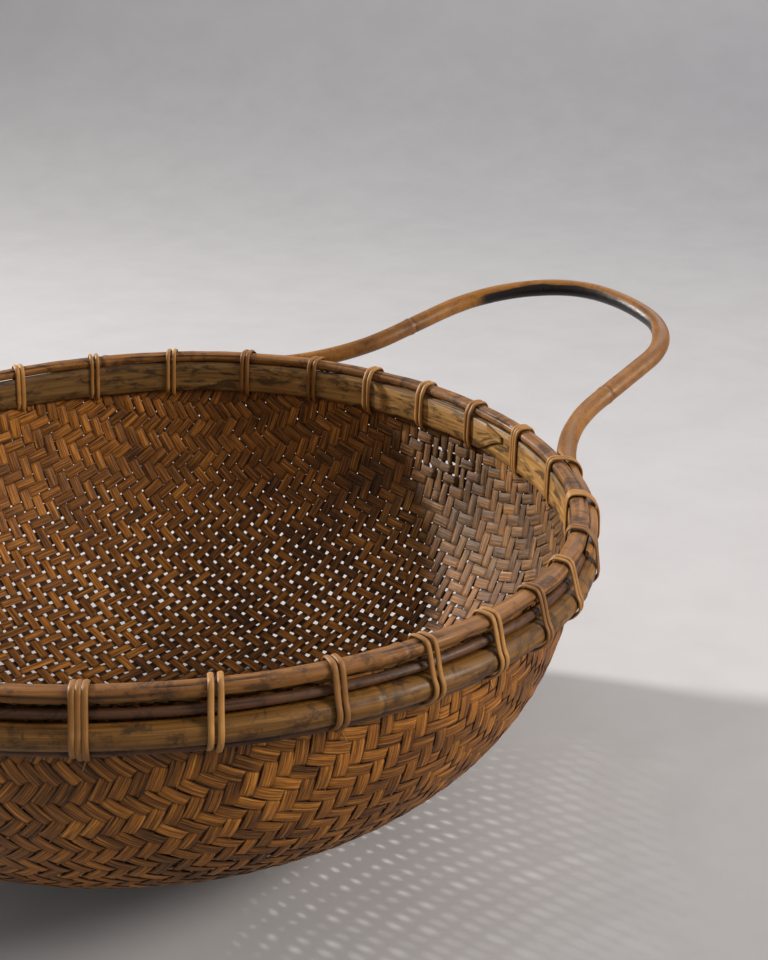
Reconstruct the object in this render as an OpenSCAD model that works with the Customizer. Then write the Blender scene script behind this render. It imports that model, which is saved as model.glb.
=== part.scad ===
// Round woven winnowing basket: a twill bowl held in a hoop rim by cane lashings, with two
// bent pole handles. Millimetres. The base rests on z = 0 and the handles reach along +X and -X.

/* [Bowl] */
// Height of the inner lath's top edge above the floor
rim_height = 174; // [120:1:260]
// Radius of the flattened disc that the bowl rests on
base_radius = 50; // [20:1:90]
// Fullness of the bowl's side: 2 is an ellipse, more is squarer
fullness = 2.35; // [1.8:0.05:3]
// Thickness of the woven strips, two layers together
weave_thickness = 2.4; // [1.2:0.1:4]

/* [Rim] */
// Diameter across the outer hoop
rim_diameter = 500; // [350:1:700]
// Height of the flat lath that lines the rim
lath_height = 20; // [12:0.5:30]
// Thickness of that lath
lath_thickness = 2.8; // [1.5:0.1:5]
// Radial depth of the half-round outer hoop
outer_hoop_depth = 10.4; // [6:0.2:16]
// Diameter that the outer hoop's round face is cut from
outer_hoop_round = 12.4; // [8:0.2:20]
// Width of the flat-backed strand on top of the rim
top_strand_width = 10; // [7:0.1:10]
// Height of that strand
top_strand_height = 6.4; // [4:0.1:6.4]
// Diameter of the strand between the top strand and the outer hoop
middle_strand_d = 5; // [2:0.1:5]
// Diameter of the thin strand under the outer hoop
lower_strand_d = 4.2; // [2:0.1:4.2]
// Thickness of the lath's overlapping end
tongue_thickness = 1.6; // [0.8:0.1:3]

/* [Handles] */
// Diameter of the bent handle pole
pole_d = 11.2; // [8:0.1:16]
// How far the grip stands out from the rim's axis
handle_reach = 392; // [350:1:450]
// How far the grip's middle rises above where the pole leaves the rim
handle_rise = 46; // [0:1:120]
// Angle from the handle's middle to where the pole leaves the rim
foot_angle = 34; // [20:0.5:45]
// Angle from the right handle's middle to its pole's ends
tail_angle = 58; // [45:0.5:70]
// Angle from the left handle's middle to its pole's ends
left_tail_angle = 42; // [40:0.5:60]
// Bend radius of the grip's tighter corner
corner_radius = 58; // [35:1:70]
// Bend radius of the grip's wider corner
wide_corner_radius = 100; // [60:1:110]
// Bend radius where the pole turns from the rim into the loop
foot_radius = 110; // [80:1:130]

/* [Lashings] */
// Number of cane lashings round the rim
lashing_count = 32; // [16:4:32]
// How far the hand-tied lashings drift to and fro from even places, in degrees
lashing_drift = 2; // [0:0.25:2]
// Width of the split cane
cane_width = 2.8; // [1.5:0.1:3.5]
// Thickness of the split cane
cane_thickness = 1.2; // [0.6:0.1:2]
// Turns of cane in one lashing
cane_turns = 2; // [1:1:3]

/* [Hidden] */
fit = 0.2;                                        // clearance between neighbouring layers
rim_r = rim_diameter / 2;
weave_out_r = rim_r - outer_hoop_depth - fit;     // outside of the clamped weave
weave_in_r = weave_out_r - weave_thickness;
lath_out_r = weave_in_r - fit;
lath_in_r = lath_out_r - lath_thickness;
hoop_c = [rim_r - outer_hoop_round / 2, -14.6];   // centre of the outer hoop's round, from the rim's top
top_c = [lath_in_r + 5.6, 3.2];                   // the strand lies on the lath and over the weave
middle_c = [weave_out_r + 2.8, -5.2];
lower_c = [weave_out_r + 2.3, -22.9];
tail_c = [rim_r - 5, -2.6];                       // centre of the pole's lashed tail
tail_flat_r = rim_r - 5.2;                        // the tail is shaved to this radius
tail_end = 0.55;                                  // size of the tail's end against the pole
pitch = 360 / lashing_count;
lash_width = cane_turns * cane_width + (cane_turns - 1) * fit;
lash_half_turn = lash_width / 2 / tail_c[0] * 180 / PI;   // half a lashing's width, as an angle
foot_lashing = 3;                                 // how far short of the foot a lashing holds the pole
bend_clear = 8.6;                                 // how far short of it a lashing misses the pole
foot_from = foot_angle - (bend_clear + foot_lashing) / 2;
wall_steps = 16;
tongue_span = [-15, 17];                          // azimuths of the overlapping lath end
fine = 96;                                        // segments of a ring

// In-plane geometry of the handle loop: x outward along its slope, y along the rim.
foot_x = tail_c[0] * cos(foot_angle);
foot_y = tail_c[0] * sin(foot_angle);
slope = atan(handle_rise / (handle_reach - foot_x));
loop_len = (handle_reach - foot_x) / cos(slope);
// The grip's two halves: corner radius, turn of the top arc and turn as far as the leg.
near_half = [corner_radius, 22, 84];
far_half = [wide_corner_radius, 35, 81];

bamboo = [0.55, 0.36, 0.18];
lath_brown = [0.50, 0.40, 0.24];
strand_brown = [0.62, 0.38, 0.18];
dark_brown = [0.36, 0.22, 0.13];
hoop_gold = [0.66, 0.45, 0.20];
pole_brown = [0.58, 0.33, 0.14];
cane_gold = [0.76, 0.55, 0.27];

function lashing_name(k) = str("lashing_", k < 10 ? "0" : "", k);
// Angle from the nearer handle's middle, without sign
function from_handle(a) = let (b = a % 180) min(b, 180 - b);

// Even places, moved by a slow wave and a quicker one
function drifted(a) = a - 1.5 + lashing_drift * (cos(2 * (a - 60)) + cos(4 * (a - 80)));
// A lashing that would meet the pole's bend goes to the nearer side of it
function off_the_bend(h) =
    h <= foot_angle - bend_clear || h >= foot_angle - foot_lashing ? h
    : foot_angle - (h > foot_from ? foot_lashing : bend_clear);
function lashing_angle(k) = let (a = drifted((k - 0.5) * pitch), h = from_handle(a))
    a + (off_the_bend(h) - h) * ((a % 180) < 90 ? 1 : -1);

// Side of the bowl from the edge of its base to the rim, for a radius and a rise
function wall(r, rise) =
    let (a0 = asin(pow(base_radius / r, fullness / 2)), f0 = pow(cos(a0), 2 / fullness))
    [for (k = [0:wall_steps])
        let (a = a0 + (90 - a0) * k / wall_steps)
        [r * pow(sin(a), 2 / fullness), rise * (1 - pow(max(cos(a), 0), 2 / fullness) / f0)]];

// Outline grown by t all round, for a convex outline listed anticlockwise
function side_normal(p, q) = let (d = q - p) [d[1], -d[0]] / norm(d);
function grown(outline, t) =
    [for (i = [0:len(outline) - 1])
        let (n = len(outline), here = outline[i],
             n1 = side_normal(outline[(i + n - 1) % n], here),
             n2 = side_normal(here, outline[(i + 1) % n]))
        here + t * (n1 + n2) / (1 + n1 * n2)];

// Radius of the pole's centreline where it leaves the rim, at an angle from its handle's middle
function pole_radius(h) =
    tail_c[0] + pow(max(foot_angle - h, 0) * PI / 180 * tail_c[0], 2) / 2 * (1 / foot_radius + 1 / tail_c[0]);

// Size of the pole against its full size: the tails are thinned towards their ends
function tail_size(h, tail) = 1 - (1 - tail_end) * max(h - foot_angle, 0) / (tail - foot_angle);

// What a lashing has to pass round, by where it stands: [radius, height from the rim's top]
function bundle(inner, outer_side) =
    let (w = top_strand_width / 2 + 0.1, top = top_c[1] + top_strand_height / 2 + 0.1)
    concat([[inner, 0.2], [inner, -20.2], [weave_out_r + 0.4, -25.2], [weave_out_r + 3.3, -25.2],
            [rim_r - 1.4, -19.4], [rim_r + 0.5, -16.5]],
           outer_side,
           [[top_c[0] + w - 1.8, top], [top_c[0] - w + 1.8, top], [top_c[0] - w, top_c[1] + 1.3]]);
plain_side = [[rim_r + 0.5, -12.6], [rim_r - 1.6, -9.2], [top_c[0] + top_strand_width / 2 + 0.1, 4.5]];
function tail_side(h, tail) =
    let (x = tail_c[0] + pole_d / 2 * tail_size(h - lash_half_turn, tail))
    [[x + 0.6, -5.4], [x - 0.1, -0.6], [x - 2.4, 3.3]];
function foot_side(h) =
    let (x = pole_radius(h) + pole_d / 2)
    [[x + 0.3, -5.4], [x + 0.4, 0], [x - 1.4, 3.8], [x - 4.6, 5.9]];
function side_at(a) =
    let (h = from_handle(a), tail = a > 90 && a < 270 ? left_tail_angle : tail_angle)
    h > foot_from && h < foot_angle ? foot_side(h)
    : h >= foot_angle && h < tail + 1 ? tail_side(h, tail) : plain_side;
function over_tongue(a) =
    let (b = a > 180 ? a - 360 : a) b > tongue_span[0] && b < tongue_span[1] + 1;

module at_rim() {
    translate([0, 0, rim_height]) children();
}

// A ring with a round section, d thick, centred at c = [radius, height from the rim's top]
module strand(c, d) {
    at_rim() rotate_extrude($fn = fine) translate(c) circle(d = d, $fn = 24);
}

// A tangential slice of thickness w at azimuth a, drawn from a [radius, height] outline
module slice(a, w) {
    at_rim() rotate([0, 0, a]) rotate([90, 0, 0]) linear_extrude(w, center = true) children();
}

// The slots that the lashings pass through, just under the lath
module lashing_slots() {
    for (k = [1:lashing_count])
        slice(lashing_angle(k), lash_width + 2 * fit)
            translate([weave_in_r - 3, -27]) square([weave_thickness + 6, 6]);
}

module woven_bowl() {
    rise = rim_height - 3;                        // the weave stops under the top strand
    color(bamboo) difference() {
        rotate_extrude($fn = fine)
            polygon(concat([[0, 0]], wall(weave_out_r, rise), inside_wall(rise), [[0, weave_thickness]]));
        lashing_slots();
    }
}

// Inside of the bowl from the rim down to its floor
function inside_wall(rise) =
    let (w = wall(weave_in_r, rise - weave_thickness))
    [for (k = [wall_steps:-1:0]) [w[k][0], w[k][1] + weave_thickness]];

// A band of the lath's height between two radii
module band(r1, r2) {
    difference() {
        cylinder(r = r2, h = lath_height, $fn = fine);
        translate([0, 0, -1]) cylinder(r = r1, h = lath_height + 2, $fn = fine);
    }
}

module inner_lath() {
    color(lath_brown) translate([0, 0, rim_height - lath_height]) {
        band(lath_in_r, lath_out_r);
        difference() {
            rotate([0, 0, tongue_span[0]]) rotate_extrude(angle = tongue_span[1] - tongue_span[0], $fn = fine)
                translate([lath_in_r - tongue_thickness, 0])
                    square([tongue_thickness + 0.4, lath_height]);
            // the two cuts that leave the point
            for (side = [0, 1])
                rotate([0, 0, tongue_span[0]])
                    translate([lath_in_r - 6, 0, side == 0 ? 6 : 14])
                        rotate([side == 0 ? -150 : 60, 0, 0]) cube([5.99, 40, 40]);
        }
    }
}

module top_strand() {
    half_gap = (top_strand_width - top_strand_height) / 2;
    color(strand_brown) at_rim() rotate_extrude($fn = fine) {
        for (side = [-1, 1])
            translate(top_c + [side * half_gap, 0]) circle(d = top_strand_height, $fn = 32);
        translate(top_c - [half_gap, top_strand_height / 2]) square([2 * half_gap, top_strand_height]);
    }
}

module middle_strand() { color(dark_brown) strand(middle_c, middle_strand_d); }
module lower_strand() { color(dark_brown) strand(lower_c, lower_strand_d); }

module outer_hoop() {
    color(hoop_gold) at_rim() rotate_extrude($fn = fine) intersection() {
        translate(hoop_c) circle(d = outer_hoop_round, $fn = 48);
        translate([rim_r - outer_hoop_depth, -30]) square([outer_hoop_depth + 5, 30]);
    }
}

// Points of a bend about c, without its first point
function bend(c, r, a0, a1, n) =
    [for (k = [1:n]) let (a = a0 + (a1 - a0) * k / n) c + r * [cos(a), sin(a)]];

// One half of the loop in its own plane, from beside the grip's middle to the rim. The top arc's
// radius and the leg's length follow from where the loop has to end.
function half_loop(half) =
    let (corner = half[0], top_turn = half[1], full_turn = half[2],
         need_x = loop_len - corner * (cos(top_turn) - cos(full_turn))
                  - foot_radius * (cos(foot_angle) - cos(full_turn)),
         need_y = foot_y - corner * (sin(full_turn) - sin(top_turn))
                  - foot_radius * (sin(full_turn) - sin(foot_angle)),
         det = (1 - cos(top_turn)) * cos(full_turn) - sin(full_turn) * sin(top_turn),
         top_radius = (need_x * cos(full_turn) - need_y * sin(full_turn)) / det,
         leg_len = ((1 - cos(top_turn)) * need_y - sin(top_turn) * need_x) / det,
         out = [cos(full_turn), sin(full_turn)],
         corner_c = [loop_len - top_radius, 0]
                    + (top_radius - corner) * [cos(top_turn), sin(top_turn)],
         leg_top = corner_c + corner * out,
         leg_end = leg_top + leg_len * [-sin(full_turn), cos(full_turn)])
    concat(bend([loop_len - top_radius, 0], top_radius, 0, top_turn, 4),
           bend(corner_c, corner, top_turn, full_turn, 8),
           [for (k = [1:3]) leg_top + (leg_end - leg_top) * k / 3],
           bend(leg_end + foot_radius * out, foot_radius, 180 + full_turn, 180 + foot_angle, 8));

function in_place(p) =
    [foot_x + p[0] * cos(slope), p[1], rim_height + tail_c[1] + p[0] * sin(slope)];

// Centreline of the pole from the grip's middle round one half and along its tail
function side_path(half, tail) =
    concat([for (p = half_loop(half)) in_place(p)],
           [for (p = bend([0, 0], tail_c[0], foot_angle, tail, 9)) [p[0], p[1], rim_height + tail_c[1]]]);

// Both halves, from the end of one tail to the end of the other
function pole_path(tail) =
    let (near = side_path(near_half, tail), far = side_path(far_half, tail))
    concat([for (k = [len(near) - 1:-1:0]) [near[k][0], -near[k][1], near[k][2]]],
           [in_place([loop_len, 0])], far);

// The pole is shaved where it lies against the rim
function shaved(p) =
    let (r = norm([p[0], p[1]]), s = max(1, tail_flat_r / r)) [p[0] * s, p[1] * s, p[2]];

// Size of the pole at a point of its centreline
function thinned(p, tail) =
    norm([p[0], p[1]]) < tail_c[0] + 0.01 ? tail_size(abs(atan2(p[1], p[0])), tail) : 1;

module handle(tail) {
    sides = 16;
    path = pole_path(tail);
    last = len(path) - 1;
    up = [-sin(slope), 0, cos(slope)];
    points = [for (k = [0:last])
        let (ahead = path[min(k + 1, last)] - path[max(k - 1, 0)],
             across = cross(ahead, up) / norm(cross(ahead, up)),
             over = cross(across, ahead) / norm(ahead),
             r = pole_d / 2 * thinned(path[k], tail))
        for (i = [0:sides - 1])
            shaved(path[k] + r * (cos(i * 360 / sides) * across + sin(i * 360 / sides) * over))];
    walls = [for (k = [0:last - 1], i = [0:sides - 1])
        let (j = (i + 1) % sides, a = k * sides, b = a + sides) [a + i, b + i, b + j, a + j]];
    color(pole_brown) polyhedron(points, concat([[for (i = [0:sides - 1]) i]], walls,
        [[for (i = [sides - 1:-1:0]) last * sides + i]]), convexity = 6);
}

module handle_right() { handle(tail_angle); }
module handle_left() { rotate([0, 0, 180]) handle(left_tail_angle); }

module lashing(k) {
    a = lashing_angle(k);
    inner = lath_in_r - (over_tongue(a) ? tongue_thickness : 0) - 0.1;
    outline = bundle(inner, side_at(a));
    step = cane_width + fit;
    color(cane_gold) {
        for (t = [0:cane_turns - 1])
            rotate([0, 0, (t - (cane_turns - 1) / 2) * step / rim_r * 180 / PI])
                slice(a, cane_width) difference() {
                    polygon(grown(outline, cane_thickness));
                    polygon(outline);
                }
        // the tucked end that joins the turns, inside the rim
        slice(a, lash_width * 0.8) translate([inner - cane_thickness - 0.8, -15]) square([1.4, 6]);
    }
}

woven_bowl();
inner_lath();
top_strand();
middle_strand();
outer_hoop();
lower_strand();
handle_right();
handle_left();
for (k = [1:lashing_count])
    lashing(k);
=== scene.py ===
"""Round twill-woven bamboo basket with a lashed hoop rim and two bent pole handles.

The basket's lengths are in millimetres and become metres when a mesh is made. The floor, the lights
and the camera are in metres. Z is up and the basket rests on z = 0. TAIL_RISE and GRIP_RISE are
taken from the top of the inner lath.
"""
import math

import bpy
import numpy as np
from mathutils import Matrix, Vector


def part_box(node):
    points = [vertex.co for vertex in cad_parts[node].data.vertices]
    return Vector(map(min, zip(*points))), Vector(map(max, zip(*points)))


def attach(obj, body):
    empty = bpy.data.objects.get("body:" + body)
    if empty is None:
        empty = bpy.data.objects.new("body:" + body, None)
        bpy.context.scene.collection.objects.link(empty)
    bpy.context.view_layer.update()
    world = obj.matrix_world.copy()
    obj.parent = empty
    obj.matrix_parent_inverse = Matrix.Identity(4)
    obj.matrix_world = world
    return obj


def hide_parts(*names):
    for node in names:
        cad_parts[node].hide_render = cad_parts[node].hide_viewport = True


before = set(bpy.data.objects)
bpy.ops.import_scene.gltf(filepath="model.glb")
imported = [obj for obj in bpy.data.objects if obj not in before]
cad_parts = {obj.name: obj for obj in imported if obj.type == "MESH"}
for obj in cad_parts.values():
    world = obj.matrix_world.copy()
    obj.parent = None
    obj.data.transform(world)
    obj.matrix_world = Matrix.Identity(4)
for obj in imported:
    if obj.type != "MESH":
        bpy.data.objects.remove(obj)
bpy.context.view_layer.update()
MM = 0.001

# ------------------------------------------------------------------ sizes from the CAD frame


def box(node):
    """Lowest and highest corner of a CAD node, in millimetres."""
    lo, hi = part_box(node)
    return np.array(lo) / MM, np.array(hi) / MM


def ring_section(node):
    """Outer radius, lowest and highest height of a CAD ring."""
    lo, hi = box(node)
    return max(hi[0], hi[1]), lo[2], hi[2]


LATH_OUT, _, RIM_Z = ring_section("inner_lath")
WEAVE_OUT, _, WEAVE_TOP = ring_section("woven_bowl")
HOOP_OUT, HOOP_LOW, HOOP_HIGH = ring_section("outer_hoop")
TOP_OUT, TOP_LOW, TOP_HIGH = ring_section("top_strand")
LOWER_OUT, LOWER_LOW, LOWER_HIGH = ring_section("lower_strand")
MID_OUT, MID_LOW, MID_HIGH = ring_section("middle_strand")

LATH_H = 20.0                     # height of the lath
LATH_T = 2.8                      # and its thickness
TONGUE_T = 1.6                    # thickness of its overlapping end
TONGUE_FROM, TONGUE_TO = -15.0, 17.0    # azimuths of that end's point and root
WEAVE_T = 2.4                     # two woven layers
POLE_R = 5.6                      # radius of the handle pole
LASHINGS = 32
BASE_R = 50.0                     # flat disc that the bowl rests on
FULLNESS = 2.35                   # power of the bowl's superellipse profile
FOOT = 34.0                       # angle from a handle's middle to where its pole meets the rim
TAILS = {"right": 58.0, "left": 42.0}   # and to where it ends
TAIL_R, TAIL_RISE = HOOP_OUT - 5.0, -2.6
TAIL_FLAT = HOOP_OUT - 5.2        # the tail is shaved to this radius
TAIL_THINNING = 0.45              # share of its thickness that a tail loses by its end
FOOT_BEND = 110.0                 # radius of the bend that brings the pole onto the rim
LATH_IN = LATH_OUT - LATH_T
STRAND_R = LATH_IN + 5.6          # middle of the strand on top of the rim
GRIP_REACH, GRIP_RISE = 392.0, 46.0
# the two halves of a grip's loop: its corner's radius, and the angles where the corner starts and ends
GRIP_HALVES = ((58.0, 22.0, 84.0), (100.0, 35.0, 81.0))
LATH_R, RIM_R, HOOP_R = 234.0, 240.0, 245.0   # round radii that turn angles into lengths on the rim
WARP = 5.0                        # how far the rim rises and dips, at LATH_R
WARP_TURN = 82.4                  # twice the azimuth of its high point
SPECULAR = 0.22                   # plain reflection of every material, under Blender's usual 0.5
GRAIN_SHIFT = 97.0                # gives each body its own stretch of the grain

# azimuths of the lashings, from the places of the CAD pieces
LASHED = []
for n in range(LASHINGS):
    lo, hi = box(f"lashing_{n + 1:02d}")
    LASHED.append(math.degrees(math.atan2(lo[1] + hi[1], lo[0] + hi[0])) % 360)

# ------------------------------------------------------------------ small numeric helpers


def smooth(x, lo=0.0, hi=1.0):
    """0 below lo and 1 above hi, with an eased rise between."""
    t = np.clip((np.asarray(x, float) - lo) / (hi - lo), 0, 1)
    return t * t * (3 - 2 * t)


def noise(t, seed, size=1.0):
    """Smooth noise in -1..1 along t, with features about size long."""
    table = np.random.default_rng(seed).uniform(-1, 1, 1024)
    x = np.asarray(t, float) / size + 500.0
    i = np.floor(x).astype(int)
    f = smooth(x - i)
    return table[i % 1024] * (1 - f) + table[(i + 1) % 1024] * f


def ring_noise(theta, seed, count):
    """Smooth noise in -1..1 round a ring, with count features in a turn."""
    table = np.random.default_rng(seed).uniform(-1, 1, count)
    x = np.asarray(theta, float) / (2 * math.pi) * count
    i = np.floor(x).astype(int)
    f = smooth(x - i)
    return table[i % count] * (1 - f) + table[(i + 1) % count] * f


def unit(v):
    """Vectors scaled to a length of 1."""
    return v / np.maximum(np.linalg.norm(v, axis=-1, keepdims=True), 1e-9)


def wrapped(angle):
    """Angles brought to -pi..pi."""
    return np.mod(angle + math.pi, 2 * math.pi) - math.pi


def running_length(points):
    """Length along a line of points, from its first."""
    return np.concatenate([[0], np.cumsum(np.linalg.norm(np.diff(points, axis=0), axis=1))])


def settle(p):
    """The basket isn't quite flat: its rim rises and dips a few millimetres, as the real one does."""
    out = p.copy()
    r, a = np.hypot(p[:, 0], p[:, 1]), np.arctan2(p[:, 1], p[:, 0])
    out[:, 2] += WARP * (r / LATH_R) ** 2 * np.cos(2 * a - math.radians(WARP_TURN))
    return out


# ------------------------------------------------------------------ mesh building


def rings_to_mesh(points, closed=False):
    """Quads over points (rings, sides, 3), facing outward whichever way the rings run."""
    n, m = points.shape[:2]
    k = np.arange(n if closed else n - 1)[:, None]
    i = np.arange(m)[None]
    nk, ni = (k + 1) % n, (i + 1) % m
    corners = np.broadcast_arrays(k * m + i, k * m + ni, nk * m + ni, nk * m + i)
    quads = np.stack(corners, -1).reshape(-1, 4)
    if not closed:
        c = np.arange(m // 2 - 1)
        cap = np.stack([c, c + 1, m - 2 - c, m - 1 - c], 1)
        quads = np.concatenate([quads, cap[:, ::-1], cap + (n - 1) * m])
    ring, ahead = points[0], points[1].mean(0) - points[0].mean(0)
    area = np.cross(ring - ring.mean(0), np.roll(ring, -1, 0) - ring.mean(0)).sum(0)
    return quads[:, ::-1] if area @ ahead < 0 else quads


def part(points, along, across, tint, closed=False, **marks):
    """One swept body: its corners, its faces and the marks that its material reads."""
    n, m = points.shape[:2]
    full = {"tint": tint, **marks}
    full = {k: np.broadcast_to(v, (n, m)).ravel() for k, v in full.items()}
    grain = np.stack([np.broadcast_to(np.asarray(along)[:, None], (n, m)),
                      np.broadcast_to(across, (n, m)),
                      np.broadcast_to(tint, (n, m)) * GRAIN_SHIFT], -1).reshape(-1, 3)
    return points.reshape(-1, 3), rings_to_mesh(points, closed), full, grain


def add_piece(name, parts, material, nodes, ride="root"):
    """Joins swept bodies into one object that stands for the named CAD nodes."""
    start, co, quads = 0, [], []
    for p in parts:
        co.append(p[0])
        quads.append(p[1] + start)
        start += len(p[0])
    co = settle(np.concatenate(co)) * MM
    quads = np.concatenate(quads)
    mesh = bpy.data.meshes.new(name)
    mesh.vertices.add(len(co))
    mesh.vertices.foreach_set("co", co.ravel().astype(np.float32))
    mesh.loops.add(quads.size)
    mesh.loops.foreach_set("vertex_index", quads.ravel().astype(np.int32))
    mesh.polygons.add(len(quads))
    mesh.polygons.foreach_set("loop_start", np.arange(0, quads.size, 4, dtype=np.int32))
    mesh.update(calc_edges=True)
    mesh.validate()
    mesh.shade_smooth()
    mesh.set_sharp_from_angle(angle=math.radians(52))
    for key in parts[0][2]:
        layer = mesh.attributes.new(key, "FLOAT", "POINT")
        layer.data.foreach_set("value", np.concatenate([p[2][key] for p in parts]).astype(np.float32))
    layer = mesh.attributes.new("grain", "FLOAT_VECTOR", "POINT")
    layer.data.foreach_set("vector", np.concatenate([p[3] for p in parts]).ravel().astype(np.float32))
    mesh.materials.append(material)
    piece = bpy.data.objects.new(name, mesh)
    bpy.context.scene.collection.objects.link(piece)
    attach(piece, ride)
    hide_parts(*nodes)
    return piece


# ------------------------------------------------------------------ materials


def linear(r, g, b):
    """An 8-bit sRGB colour as the linear values that the shader takes."""
    c = [v / 255 for v in (r, g, b)]
    return [v / 12.92 if v <= 0.04045 else ((v + 0.055) / 1.055) ** 2.4 for v in c] + [1.0]


class Shader:
    """A node material with short calls for the nodes that the basket's materials share."""

    def __init__(self, name):
        self.material = bpy.data.materials.new(name)
        self.material.use_nodes = True
        self.tree = self.material.node_tree
        self.bsdf = self.tree.nodes["Principled BSDF"]

    def node(self, kind, **values):
        n = self.tree.nodes.new(kind)
        for k, v in values.items():
            setattr(n, k, v)
        return n

    def put(self, socket, value):
        if isinstance(value, bpy.types.NodeSocket):
            self.tree.links.new(value, socket)
        else:
            socket.default_value = value

    def mark(self, name):
        n = self.node("ShaderNodeAttribute", attribute_name=name)
        return n.outputs["Vector"] if name == "grain" else n.outputs["Fac"]

    def math(self, op, a, b=0.0, c=0.0, clamp=False):
        n = self.node("ShaderNodeMath", operation=op, use_clamp=clamp)
        for s, v in zip(n.inputs, (a, b, c)):
            self.put(s, v)
        return n.outputs[0]

    def noise(self, vector, stretch, detail, rough, distort=0.0):
        """Noise over a vector that is stretched first. A small stretch makes long streaks."""
        m = self.node("ShaderNodeVectorMath", operation="MULTIPLY")
        self.put(m.inputs[0], vector)
        m.inputs[1].default_value = stretch
        n = self.node("ShaderNodeTexNoise")
        self.put(n.inputs["Vector"], m.outputs[0])
        self.put(n.inputs["Scale"], 1.0)
        self.put(n.inputs["Detail"], detail)
        self.put(n.inputs["Roughness"], rough)
        self.put(n.inputs["Distortion"], distort)
        return n.outputs["Fac"]

    def span(self, value, lo, hi, to_lo=0.0, to_hi=1.0):
        """A value's range lo to hi eased onto the range to_lo to to_hi."""
        n = self.node("ShaderNodeMapRange", interpolation_type="SMOOTHSTEP")
        for s, v in zip(n.inputs[:5], (value, lo, hi, to_lo, to_hi)):
            self.put(s, v)
        return n.outputs[0]

    def ramp(self, value, stops):
        n = self.node("ShaderNodeValToRGB")
        e = n.color_ramp.elements
        while len(e) < len(stops):
            e.new(0.5)
        for item, (pos, colour) in zip(e, stops):
            item.position, item.color = pos, colour
        self.put(n.inputs[0], value)
        return n.outputs[0]

    def mix(self, factor, a, b):
        n = self.node("ShaderNodeMix", data_type="RGBA")
        self.put(n.inputs["Factor"], factor)
        self.put(n.inputs[6], a)
        self.put(n.inputs[7], b)
        return n.outputs[2]

    def place(self):
        return self.node("ShaderNodeTexCoord").outputs["Object"]

    def finish(self, colour, rough, height, bump, strength, coat=0.0, coat_rough=0.3):
        """Joins colour, roughness and a bump from the height to the surface shader."""
        self.put(self.bsdf.inputs["Base Color"], colour)
        self.put(self.bsdf.inputs["Roughness"], rough)
        self.bsdf.inputs["Specular IOR Level"].default_value = SPECULAR
        self.bsdf.inputs["Coat Weight"].default_value = coat
        self.bsdf.inputs["Coat Roughness"].default_value = coat_rough
        b = self.node("ShaderNodeBump")
        b.inputs["Strength"].default_value = strength
        b.inputs["Distance"].default_value = bump
        self.put(b.inputs["Height"], height)
        self.put(self.bsdf.inputs["Normal"], b.outputs[0])
        return self.material


def weave_material():
    """Split bamboo strips: brown fibre, greyer on one side where bleached and where painted light tints
    it, and painted shade at their edges and where one dips under.
    """
    s = Shader("split_bamboo_weave")
    grain, tint = s.mark("grain"), s.mark("tint")
    fibre = s.noise(grain, (0.04, 1.5, 1.0), 4, 0.65)
    streak = s.noise(grain, (0.012, 0.5, 1.0), 3, 0.6)
    blotch = s.noise(s.place(), (22, 22, 22), 3, 0.6)
    tone = s.math("MULTIPLY_ADD", streak, 0.6, s.math("MULTIPLY", tint, 0.16))
    tone = s.math("MULTIPLY_ADD", fibre, 1.15, tone)
    tone = s.math("ADD", tone, s.math("MULTIPLY_ADD", blotch, 0.42, -0.83))
    colour = s.ramp(tone, [(0.10, linear(42, 22, 5)), (0.34, linear(114, 69, 19)),
                           (0.52, linear(168, 107, 38)), (0.70, linear(198, 144, 68)),
                           (0.92, linear(224, 180, 100))])
    grey = s.ramp(tone, [(0.10, linear(36, 24, 11)), (0.36, linear(84, 60, 32)),
                         (0.58, linear(132, 100, 58)), (0.90, linear(184, 150, 94))])
    # the greyer tone on one side: partly bleaching, partly painted light
    colour = s.mix(s.mark("bleach"), colour, grey)
    # painted shade along the strips' edges, broken up by the fibre
    edge_shade = s.math("MULTIPLY", s.span(s.mark("edge"), 0.8, 1.0, 0.0, 0.8),
                  s.span(fibre, 0.2, 0.7, 0.6, 1.0))
    colour = s.mix(edge_shade, colour, linear(44, 24, 10))
    # painted shade where a strip's face dips under the strip that crosses it
    colour = s.mix(s.span(s.mark("lift"), -0.6, 0.7, 0.8, 0.0), colour, linear(30, 17, 8))
    rough = s.math("MULTIPLY_ADD", streak, 0.25, 0.46)
    return s.finish(colour, rough, fibre, 0.0004, 0.9, coat=0.02, coat_rough=0.5)


def lath_material():
    """The flat lath: pale weathered wood with stains, dark edges, dirt by the lashings and painted shade
    on its far side.
    """
    s = Shader("weathered_lath")
    grain = s.mark("grain")
    fibre = s.noise(grain, (0.03, 1.8, 1.0), 4, 0.65)
    band = s.noise(grain, (0.012, 0.35, 1.0), 3, 0.6)
    stain = s.noise(grain, (0.05, 0.16, 1.0), 4, 0.7, 0.4)
    tone = s.math("MULTIPLY_ADD", fibre, 0.5, s.math("MULTIPLY_ADD", band, 0.7, -0.1))
    colour = s.ramp(tone, [(0.15, linear(70, 46, 20)), (0.40, linear(126, 89, 44)),
                           (0.62, linear(170, 129, 72)), (0.88, linear(198, 168, 116))])
    colour = s.mix(s.span(stain, 0.46, 0.62, 0.0, 0.85), colour, linear(56, 42, 28))
    colour = s.mix(s.span(s.mark("edge"), 0.8, 1.0, 0.0, 0.55), colour, linear(52, 34, 18))
    # dirt at the edges, by the lashings and in the split, and painted shade towards the far side
    colour = s.mix(s.mark("grime"), colour, linear(40, 26, 14))
    rough = s.span(fibre, 0.2, 0.8, 0.36, 0.6)
    return s.finish(colour, rough, fibre, 0.00022, 0.6, coat=0.05, coat_rough=0.4)


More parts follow.
